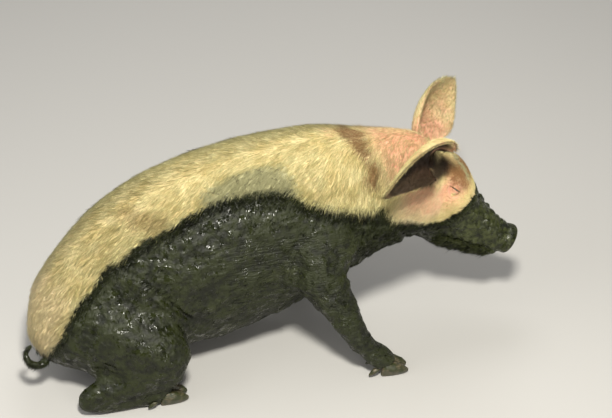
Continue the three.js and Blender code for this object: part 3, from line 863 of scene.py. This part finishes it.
BENT_FACES = [
    (0, 2, 1), (0, 1, 4), (0, 4, 3), (1, 2, 5), (1, 5, 4), (2, 0, 3), (2, 3, 5), (3, 4, 6),
    (4, 5, 6), (5, 3, 6),
]
STRAIGHT_FACES = [(0, 2, 1), (0, 1, 3), (1, 2, 3), (2, 0, 3)]
BENT_PATCH = [(0, 0), (0.5, 0.15), (1, 0), (0.1, 0.55), (0.5, 0.6), (0.9, 0.55), (0.5, 1)]
STRAIGHT_PATCH = [(0, 0), (0.5, 0.15), (1, 0), (0.5, 1)]
SUNK = 0.0012  # how deep a tuft is rooted
RIDGE = 0.45  # its height over its width
KNEE_GIRTH = 0.78  # where it bends, over its girth at the root


def tuft_points(t, bent):
    """The corners of closed three-sided tufts: a ring at the root, one at the bend, and the tip."""
    across = unit(np.cross(t["way"], t["up"]))
    stand = t["lift"][:, None] * t["up"]
    first = unit(t["way"] + stand)
    root = t["at"] - SUNK * t["up"] - 0.3 * SUNK * t["way"]
    half = 0.5 * t["width"][:, None] * across
    ridge = RIDGE * t["width"][:, None] * t["up"]
    ring = [root - half, root + ridge, root + half]
    length = (t["length"] + SUNK)[:, None]
    if not bent:
        return np.stack(ring + [root + length * first], axis=1)
    turn = t["turn"][:, None]
    second = unit(t["way"] + stand - 0.9 * turn * t["up"] + 0.5 * t["sway"][:, None] * across)
    knee = root + 0.5 * length * first
    bend = [knee - KNEE_GIRTH * half, knee + KNEE_GIRTH * ridge, knee + KNEE_GIRTH * half]
    return np.stack(ring + bend + [knee + 0.5 * length * second], axis=1)


def mesh_of(name, places, faces, uvs, values):
    """One mesh of many like tufts. places is tufts by corners by 3."""
    count, corners = places.shape[:2]
    faces = np.array(faces)
    index = (np.arange(count)[:, None, None] * corners + faces[None]).astype(np.int32).ravel()
    mesh = bpy.data.meshes.new(name)
    mesh.vertices.add(count * corners)
    mesh.loops.add(len(index))
    mesh.polygons.add(len(index) // 3)
    mesh.vertices.foreach_set("co", places.astype(np.float32).ravel())
    mesh.loops.foreach_set("vertex_index", index)
    mesh.polygons.foreach_set("loop_start", np.arange(0, len(index), 3, dtype=np.int32))
    mesh.update(calc_edges=True)
    mesh.polygons.foreach_set("use_smooth", np.ones(len(index) // 3, bool))
    layer = mesh.uv_layers.new(name="OFBake")
    layer.data.foreach_set("uv", uvs.astype(np.float32).reshape(-1, 2)[index].ravel())
    for key, value in values.items():
        store(mesh, key, np.repeat(value, corners))
    return mesh


def coat_tufts(rng):
    """Every tuft of the coat: where it is rooted, how it lies and its markings."""
    edges = edge_array(skin.data)
    way = lie_of_coat(points, normals, kinds, edges)
    head = to_head(points)
    is_front = of_kind(kinds, ["head", "neck"])
    backward = ramp(head[:, 0] - 0.3 * np.minimum(head[:, 2], 0.0), *NECK_COAT_FROM)
    table = {}
    for column in ["density", "length", "width", "lift"]:
        head_value, neck_value = (BY_KIND[kind][COLUMNS.index(column)] for kind in ("head", "neck"))
        front = mixed(head_value, neck_value, backward)
        values = np.where(is_front, front, by_kind(column, kinds))
        table[column] = evened(values, edges, 16)
    bare = np.zeros(len(points))
    for side in SIDES:
        bare = np.maximum(bare, spot(points, EYE_AT[side], 0.016))
    bare = np.maximum(bare, ramp(head[:, 0], -0.034, -0.024))
    density = table["density"] * (1.0 - ramp(bare, 0.2, 0.6))
    thin_out = evened(by_kind("free", kinds), edges, 16)
    density *= mixed(1.0, thin_out, ramp(marks["mud"], 0.0, 0.026))
    density *= 1.0 - 0.75 * marks["gloss"] * ramp(head[:, 2], -0.05, -0.02)
    chosen, shares = scattered(rng, skin.data, density)
    corners, uv = mesh_triangles(skin.data)
    corners = corners[chosen]
    t = {"at": spread(points, corners, shares), "up": unit(spread(normals, corners, shares))}
    t["uv"] = np.einsum("ij,ijk->ik", shares, uv[chosen])
    way = unit(spread(way, corners, shares))
    for column in ["length", "width", "lift"]:
        t[column] = spread(table[column], corners, shares)
    for name, values in marks.items():
        t[name] = spread(values, corners, shares)
    count, draw = len(chosen), rng.standard_normal
    muddy = ramp(t["mud"] + 0.004 * draw(count), 0.0, 0.006)
    spiky = ramp(noise(t["at"], 0.06, 90), -0.1, 0.5) * muddy * ramp(t["mud"], 0.05, 0.02)
    border = bell(t["mud"], 0.022)
    lean = (0.14 + 0.16 * muddy) * draw(count)
    lean += 0.11 * noise(t["at"], 0.012, 91) * (1.0 + 2.0 * muddy)
    t["way"] = unit(way + lean[:, None] * np.cross(t["up"], way))
    rim = 4.0 * t["inside"] * (1.0 - t["inside"])
    uneven = np.clip(1.0 + 0.25 * draw(count), 0.4, 1.7)
    t["length"] *= uneven * (1.0 - 0.30 * ramp(t["mud"], 0.0, 0.04))
    t["length"] *= 1.0 + 0.6 * rim
    t["width"] *= (1.0 + 0.2 * draw(count).clip(-2, 2)) * (1.0 + muddy)
    t["lift"] = np.maximum(t["lift"] * (1.0 + 0.5 * draw(count)), 0.03)
    sodden = 0.05 * muddy * ramp(t["mud"], 0.02, 0.05)
    t["lift"] += 0.12 * spiky + 0.12 * border + 0.25 * rim - sodden
    t["turn"] = 0.20 * rng.random(count)
    t["sway"] = draw(count) * 0.3
    t["tone"] = np.clip(0.42 * draw(count) + 0.22 * noise(t["at"], 0.006, 92), -1, 1)
    t["muddy"] = muddy
    return t


def chosen_tufts(t, keep):
    return {key: value[keep] for key, value in t.items()}


def add_piece(name, mesh, replaces=()):
    obj = loose_object(name, mesh)
    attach(obj, "root")
    if replaces:
        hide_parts(*replaces)
    return obj


LOWEST = 0.0003  # tufts that reach below this are left out
MARK_NAMES = ["mud", "pink", "rust", "film", "shade_and_dark_hair", "lump", "paler_coat_and_light", "gloss", "tone"]


def coat_piece(name, t, bent, material):
    faces, patch = (BENT_FACES, BENT_PATCH) if bent else (STRAIGHT_FACES, STRAIGHT_PATCH)
    places = tuft_points(t, bent)
    clear = places[:, :, 2].min(axis=1) > LOWEST
    places, t = places[clear], chosen_tufts(t, clear)
    uvs = t["uv"][:, None, :] + PATCH * (np.array(patch) - 0.5)[None]
    mesh = mesh_of(name, places, faces, uvs, {key: t[key] for key in MARK_NAMES})
    mesh.materials.append(material)
    return add_piece(name, mesh)


# ---- materials ----


class Nodes:
    """Adds and joins the shader nodes of one material."""

    def __init__(self, name):
        self.material = bpy.data.materials.new(name)
        self.material.use_nodes = True
        self.tree = self.material.node_tree
        self.tree.nodes.clear()
        self.place = self.add("ShaderNodeTexCoord").outputs["Object"]

    def add(self, kind, inputs=None, **settings):
        node = self.tree.nodes.new(kind)
        for key, value in settings.items():
            setattr(node, key, value)
        for key, value in (inputs or {}).items():
            self.put(node.inputs[key], value)
        return node

    def put(self, socket, value):
        if isinstance(value, bpy.types.NodeSocket):
            self.tree.links.new(value, socket)
        else:
            socket.default_value = value

    def mark(self, name):
        return self.add("ShaderNodeAttribute", attribute_name=name).outputs["Fac"]

    def noise(self, size, detail=2.0, place=None):
        inputs = {"Scale": 1.0 / size, "Detail": detail, "Roughness": 0.55}
        inputs["Vector"] = self.place if place is None else place
        return self.add("ShaderNodeTexNoise", inputs).outputs["Fac"]

    def streaks(self, size, turn, stretch):
        """Noise drawn out stretch times along x, once turned."""
        inputs = {"Vector": self.place, "Rotation": turn, "Scale": (1.0 / stretch, 1.0, 1.0)}
        return self.noise(size, 3.0, self.add("ShaderNodeMapping", inputs).outputs[0])

    def cells(self, size):
        inputs = {"Vector": self.place, "Scale": 1.0 / size}
        node = self.add("ShaderNodeTexVoronoi", inputs, feature="DISTANCE_TO_EDGE")
        return node.outputs["Distance"]

    def math(self, operation, *values):
        node = self.add("ShaderNodeMath", dict(enumerate(values)), operation=operation)
        return node.outputs[0]

    def sum(self, a, b, factor=1.0, offset=0.0):
        """a plus factor times b plus offset."""
        return self.math("ADD", a, self.math("MULTIPLY_ADD", b, factor, offset))

    def times(self, a, b):
        return self.math("MULTIPLY", a, b)

    def step(self, value, start, end, low=0.0, high=1.0):
        inputs = {"From Min": start, "From Max": end, "To Min": low, "To Max": high}
        inputs["Value"] = value
        node = self.add("ShaderNodeMapRange", inputs, interpolation_type="SMOOTHSTEP")
        return node.outputs["Result"]

    def frayed(self, name, grain, amount):
        """A marking whose border is broken up by that amount of noise."""
        return self.sum(self.mark(name), grain, amount, -amount / 2)

    def blend(self, a, b, share):
        """The mix of two colours."""
        node = self.add("ShaderNodeMix", {"Factor": share, 6: a, 7: b}, data_type="RGBA")
        return node.outputs[2]

    def bumped(self, layers):
        """Bump from (height, size in metres) layers, the broadest first."""
        normal = None
        for height, distance in layers:
            inputs = {"Height": height, "Distance": distance, "Strength": 1.0}
            if normal is not None:
                inputs["Normal"] = normal
            normal = self.add("ShaderNodeBump", inputs).outputs["Normal"]
        return normal

    def finish(self, inputs):
        shader = self.add("ShaderNodeBsdfPrincipled", inputs)
        output = self.add("ShaderNodeOutputMaterial")
        self.tree.links.new(shader.outputs[0], output.inputs["Surface"])
        return self.material


GOLD = (0.590, 0.510, 0.205, 1)
PALE = (0.780, 0.720, 0.375, 1)
CREAM_COLOUR = (0.900, 0.760, 0.470, 1)
PINK = (0.800, 0.420, 0.280, 1)
ROSE = (0.640, 0.230, 0.150, 1)
RUST = (0.215, 0.092, 0.029, 1)
FILM = (0.400, 0.390, 0.215, 1)
FILM_CRACK = (0.130, 0.130, 0.065, 1)
MUD_DARK = (0.0050, 0.0064, 0.0011, 1)
MUD_MID = (0.0160, 0.0202, 0.0036, 1)
MUD_PALE = (0.050, 0.058, 0.018, 1)
# dark brown of painted shade and dark hair, in the right ear's hollow and beside it
EAR_SHADE_AND_DARK_HAIR = (0.022, 0.012, 0.005, 1)


def pig_colour(n, hair):
    """The colour and the share of mud, for the skin or for its hair, from the same markings."""
    tone = n.mark("tone")
    patches = n.noise(0.045, 3.0)
    fine = n.noise(0.0045, 2.0)
    clean = n.blend(GOLD, PALE, n.step(n.sum(patches, tone, 0.35), 0.30, 0.75))
    # paler coat, with painted light on the cheek
    clean = n.blend(clean, CREAM_COLOUR, n.step(n.mark("paler_coat_and_light"), 0.0, 1.0, 0.0, 0.75))
    flesh = n.blend(PINK, ROSE, n.step(n.noise(0.012, 3.0), 0.45, 0.80))
    pink = n.frayed("pink", fine, 0.5)
    pink_most = 0.40 if hair else 1.0
    clean = n.blend(clean, flesh, n.step(pink, 0.25, 1.0, 0.0 if hair else 0.25, pink_most))
    rust = n.frayed("rust", fine, 0.7)
    clean = n.blend(clean, RUST, n.step(rust, 0.20, 1.0, 0.0, 0.90))
    film = n.frayed("film", n.noise(0.010, 3.0), 1.2)
    broken = n.step(n.noise(0.020, 3.0), 0.44, 0.58, 0.25, 0.0)
    crack = n.blend(FILM_CRACK, FILM, n.step(n.sum(n.cells(0.016), broken), 0.02, 0.09))
    clean = n.blend(clean, crack, n.step(film, 0.25, 0.75, 0.0, 0.85))
    # painted shade, with dark hair, in and beside the right ear's hollow
    clean = n.blend(clean, EAR_SHADE_AND_DARK_HAIR, n.mark("shade_and_dark_hair"))
    lumps = n.sum(n.noise(0.016, 4.0), n.mark("lump"), 0.22)
    muck = n.blend(MUD_DARK, MUD_MID, n.step(lumps, 0.30, 0.66))
    drying = n.sum(n.noise(0.07, 3.0), tone, 0.2)
    muck = n.blend(muck, MUD_PALE, n.step(drying, 0.58, 0.86))
    silt = n.times(n.mark("gloss"), n.step(n.noise(0.013, 4.0), 0.38, 0.66, 0.0, 0.8))
    muck = n.blend(muck, MUD_PALE, silt)
    edge = n.frayed("mud", n.noise(0.014, 3.0), 0.016)
    mud = n.step(edge, -0.0015, 0.0025)
    return n.blend(clean, muck, mud), mud


def skin_material():
    n = Nodes("sow_skin")
    colour, mud = pig_colour(n, False)
    streaks = n.streaks(0.0060, (0.0, math.radians(-33), 0.0), 6.0)
    clods = n.noise(0.0170, 1.5)
    forms = n.add("ShaderNodeMix", {"Factor": n.mark("combed"), 2: clods, 3: streaks}).outputs[0]
    broad = n.times(forms, n.step(mud, 0.0, 1.0, 0.25, 1.0))
    grit = n.noise(0.0040, 2.0)
    wet = n.step(n.sum(n.noise(0.018, 3.0), n.mark("gloss"), 0.08), 0.49, 0.62)
    inputs = {
        "Base Color": colour,
        "Roughness": n.step(n.times(mud, wet), 0.0, 1.0, 0.60, 0.15),
        "Normal": n.bumped([(broad, 0.0075), (grit, 0.0008)]),
        "Specular IOR Level": 0.36,
    }
    return n.finish(inputs)


def hair_material():
    n = Nodes("sow_coat")
    colour, mud = pig_colour(n, True)
    shade = n.step(n.mark("tone"), -1.0, 1.0, 0.72, 1.18)
    bright = n.add("ShaderNodeVectorMath", {0: colour}, operation="SCALE")
    n.put(bright.inputs["Scale"], shade)
    inputs = {
        "Base Color": bright.outputs[0],
        "Roughness": n.step(mud, 0.0, 1.0, 0.48, 0.26),
        "Specular IOR Level": 0.35,
    }
    return n.finish(inputs)


def eye_material():
    n = Nodes("sow_eye")
    iris = n.blend((0.020, 0.011, 0.006, 1), (0.055, 0.028, 0.014, 1), n.noise(0.0018, 3.0))
    inputs = {"Base Color": iris, "Roughness": 0.06, "Coat Weight": 1.0, "Coat Roughness": 0.02}
    return n.finish(inputs)


def horn_material():
    n = Nodes("sow_horn")
    inputs = {"Vector": n.place, "Scale": 60.0, "Distortion": 3.0}
    band = n.add("ShaderNodeTexWave", inputs, bands_direction="Z")
    horn = n.blend((0.060, 0.050, 0.030, 1), (0.150, 0.120, 0.070, 1), band.outputs["Fac"])
    muck = n.blend(MUD_DARK, MUD_PALE, n.noise(0.008, 3.0))
    share = n.step(n.noise(0.015, 3.0), 0.30, 0.60)
    inputs = {
        "Base Color": n.blend(horn, muck, share),
        "Roughness": n.step(share, 0.0, 1.0, 0.45, 0.32),
        "Normal": n.bumped([(n.noise(0.003, 3.0), 0.0006)]),
    }
    return n.finish(inputs)


# ---- the pieces ----

HORN_VOXEL = 0.0024
BENT_IN_MUD = 0.55  # share of the muddy tufts that bend and clot
BENT_ELSEWHERE = 0.04
EYE_GAP = 0.0004  # between an eyeball and its solid


def surfaced(mesh, material):
    """Gives a mesh smooth shading and that material alone."""
    for polygon in mesh.polygons:
        polygon.use_smooth = True
    mesh.materials.clear()
    mesh.materials.append(material)


def dress_skin():
    surfaced(skin.data, skin_material())
    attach(skin, "root")
    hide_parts(*FLESH)


def grow_coat():
    rng = np.random.default_rng(SEED)
    t = coat_tufts(rng)
    material = hair_material()
    count = len(t["mud"])
    bent = (t["muddy"] > 0.5) & (rng.random(count) < BENT_IN_MUD)
    bent |= (t["inside"] > 0.1) | (rng.random(count) < BENT_ELSEWHERE)
    group = rng.integers(0, PIECES_OF_COAT, count)
    for k in range(PIECES_OF_COAT):
        for word, shape in (("bristles", False), ("locks", True)):
            keep = (bent == shape) & (group == k)
            coat_piece(f"{word}_{k + 1}", chosen_tufts(t, keep), shape, material)


def make_eyes():
    material = eye_material()
    for side in SIDES:
        bm = bmesh.new()
        radius = EYE_RADIUS - EYE_GAP
        bmesh.ops.create_uvsphere(bm, u_segments=32, v_segments=20, radius=radius)
        bm.transform(Matrix.Translation(Vector(EYE_AT[side])))
        mesh = finished_mesh(bm, f"eyeball_{side}")
        surfaced(mesh, material)
        add_piece(f"eyeball_{side}", mesh, [f"eye_{side}"])


def make_claws():
    """The claws' own solids with their edges worn round."""
    material = horn_material()
    for node in sorted(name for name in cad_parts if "claw" in name):
        bm = bmesh.new()
        grown_node(bm, node, 0.0)
        name = f"horn_{node}"
        obj = remeshed(loose_object(name, finished_mesh(bm, name)), HORN_VOXEL)
        set_points(obj.data, relaxed(point_array(obj.data), edge_array(obj.data), 0.5, 8))
        surfaced(obj.data, material)
        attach(obj, "root")
        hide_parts(node)


dress_skin()
grow_coat()
make_eyes()
make_claws()

# ---- floor, light and camera ----

AIM = Vector((0.0945, 0.0081, 0.335))
CAMERA_AT = (-17.0, 35.0, 3.6)  # azimuth, elevation and distance from the aim
VIEW_HALF_WIDTH = 0.7344  # of the picture, at the aim
SENSOR_WIDTH = 36.0
LIGHTS = [  # name, azimuth, elevation, distance, width, power and colour
    ("key", -14, 54, 3.2, 0.4, 138, (1.0, 0.97, 0.89)),
    ("low", 6, 13, 3.6, 1.2, 26, (1.0, 0.97, 0.91)),
    ("left", -85, 28, 3.6, 2.4, 34, (1.0, 1.0, 1.0)),
    ("back", 165, 55, 3.6, 1.8, 36, (1.0, 1.0, 1.0)),
]
WORLD_COLOUR = (1.0, 0.99, 0.96, 1)
WORLD_STRENGTH = 0.26
FLOOR_COLOUR = (0.50, 0.49, 0.47, 1)
FLOOR_HALF_WIDTH = 8.0


def place_round(obj, azimuth, elevation, away):
    """Puts a light or camera at that distance from the aim, turned to it; angles in degrees."""
    a, e = math.radians(azimuth), math.radians(elevation)
    out = Vector((math.sin(a) * math.cos(e), -math.cos(a) * math.cos(e), math.sin(e)))
    obj.location = AIM + out * away
    obj.rotation_euler = out.to_track_quat("Z", "Y").to_euler()


def make_floor():
    mesh = bpy.data.meshes.new("floor")
    corners = [(-1, -1), (1, -1), (1, 1), (-1, 1)]
    places = [(FLOOR_HALF_WIDTH * x, FLOOR_HALF_WIDTH * y, 0) for x, y in corners]
    mesh.from_pydata(places, [], [(0, 1, 2, 3)])
    floor = loose_object("floor", mesh)
    n = Nodes("floor_paint")
    mesh.materials.append(n.finish({"Base Color": FLOOR_COLOUR, "Roughness": 0.9}))


def make_light():
    for name, azimuth, elevation, away, width, power, colour in LIGHTS:
        light = bpy.data.lights.new(name, "AREA")
        light.size = width
        light.energy = power
        light.color = colour
        place_round(loose_object(name, light), azimuth, elevation, away)
    world = bpy.data.worlds.new("studio")
    world.use_nodes = True
    background = world.node_tree.nodes["Background"].inputs
    background["Color"].default_value = WORLD_COLOUR
    background["Strength"].default_value = WORLD_STRENGTH
    bpy.context.scene.world = world
    bpy.context.scene.view_settings.view_transform = "Standard"


def make_camera():
    camera = bpy.data.cameras.new("camera")
    camera.sensor_width = SENSOR_WIDTH
    camera.lens = SENSOR_WIDTH / 2 * CAMERA_AT[2] / VIEW_HALF_WIDTH
    obj = loose_object("camera", camera)
    place_round(obj, *CAMERA_AT)
    bpy.context.scene.camera = obj


make_floor()
make_light()
make_camera()
